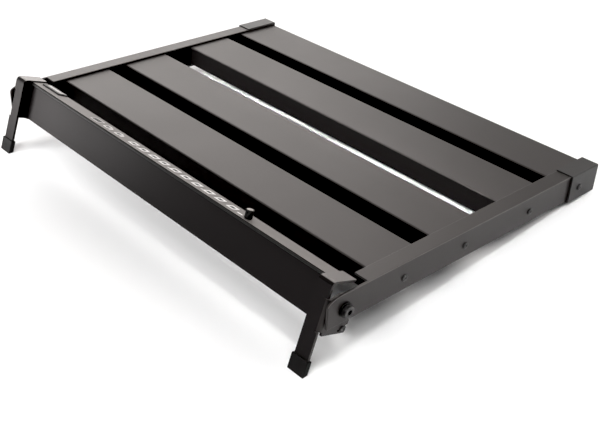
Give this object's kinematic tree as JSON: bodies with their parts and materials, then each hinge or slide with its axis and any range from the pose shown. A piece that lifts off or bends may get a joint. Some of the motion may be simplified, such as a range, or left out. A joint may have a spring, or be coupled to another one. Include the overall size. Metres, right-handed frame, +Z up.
{
  "type": "slatted pedalboard",
  "caption": "Flat slatted deck between two side rails, tilted forward on a fold-under front leg frame with rubber feet and moulded rear corner caps.",
  "frame": {"origin": "bottom centre of the whole object, on the floor that the feet and the rear caps rest on", "axes": "+X along the slats to the side of the knurled knob, +Y from the raised front edge to the low rear edge, +Z up"},
  "size_m": [0.6132, 0.4686, 0.0921],
  "materials": {
    "rail_powder_coat": "satin black powder coat",
    "slat_powder_coat": "satin black powder coat",
    "bracket_powder_coat": "satin black powder coat on bent steel",
    "beam_powder_coat": "satin black powder coat",
    "trim_anodised": "black anodised, fine grain",
    "badge_metal": "blank brushed plate",
    "cap_plastic": "moulded black plastic",
    "foot_rubber": "matt black rubber",
    "black_fasteners": "black oxide steel",
    "black_washer": "black steel",
    "nylon_spacer": "black nylon",
    "knob_black": "black anodised, knurled"
  },
  "bodies": {
    "deck": {"rail_left": "rail_powder_coat", "rail_right": "rail_powder_coat", "rear_cap_left": "cap_plastic", "rear_cap_right": "cap_plastic", "slat_screws_left": "black_fasteners", "slat_screws_right": "black_fasteners", "pivot_bolt_left": "black_fasteners", "pivot_bolt_right": "black_fasteners", "pivot_nut_left": "black_fasteners", "pivot_nut_right": "black_fasteners", "outer_washer_left": "black_washer", "outer_washer_right": "black_washer", "hinge_spacer_left": "nylon_spacer", "hinge_spacer_right": "nylon_spacer", "inner_washer_left": "black_fasteners", "inner_washer_right": "black_fasteners", "stop_pin_left": "black_fasteners", "stop_pin_right": "black_fasteners", "slat_1": "slat_powder_coat", "slat_2": "slat_powder_coat", "slat_3": "slat_powder_coat", "slat_4": "slat_powder_coat"},
    "leg_frame": {"leg_bracket_left": "bracket_powder_coat", "leg_bracket_right": "bracket_powder_coat", "foot_cap_left": "foot_rubber", "foot_cap_right": "foot_rubber", "beam_screws_left": "black_fasteners", "beam_screws_right": "black_fasteners", "index_screw_left": "black_fasteners", "index_screw_right": "black_fasteners", "front_beam": "beam_powder_coat", "top_trim": "trim_anodised", "badge_plate": "badge_metal"},
    "knob": {"knurled_knob": "knob_black"}
  },
  "joints": [
    {"name": "leg_frame_fold", "type": "hinge", "parent": "deck", "child": "leg_frame", "pos_m": [0, -0.18204, 0.05703], "axis": [1, 0, 0], "range_deg": [0, 108.5]},
    {"name": "knob_turn", "type": "hinge", "parent": "leg_frame", "child": "knob", "pos_m": [0.1506, -0.17401, 0.08138], "axis": [0, 0.4115, 0.9114], "continuous": true}
  ]
}
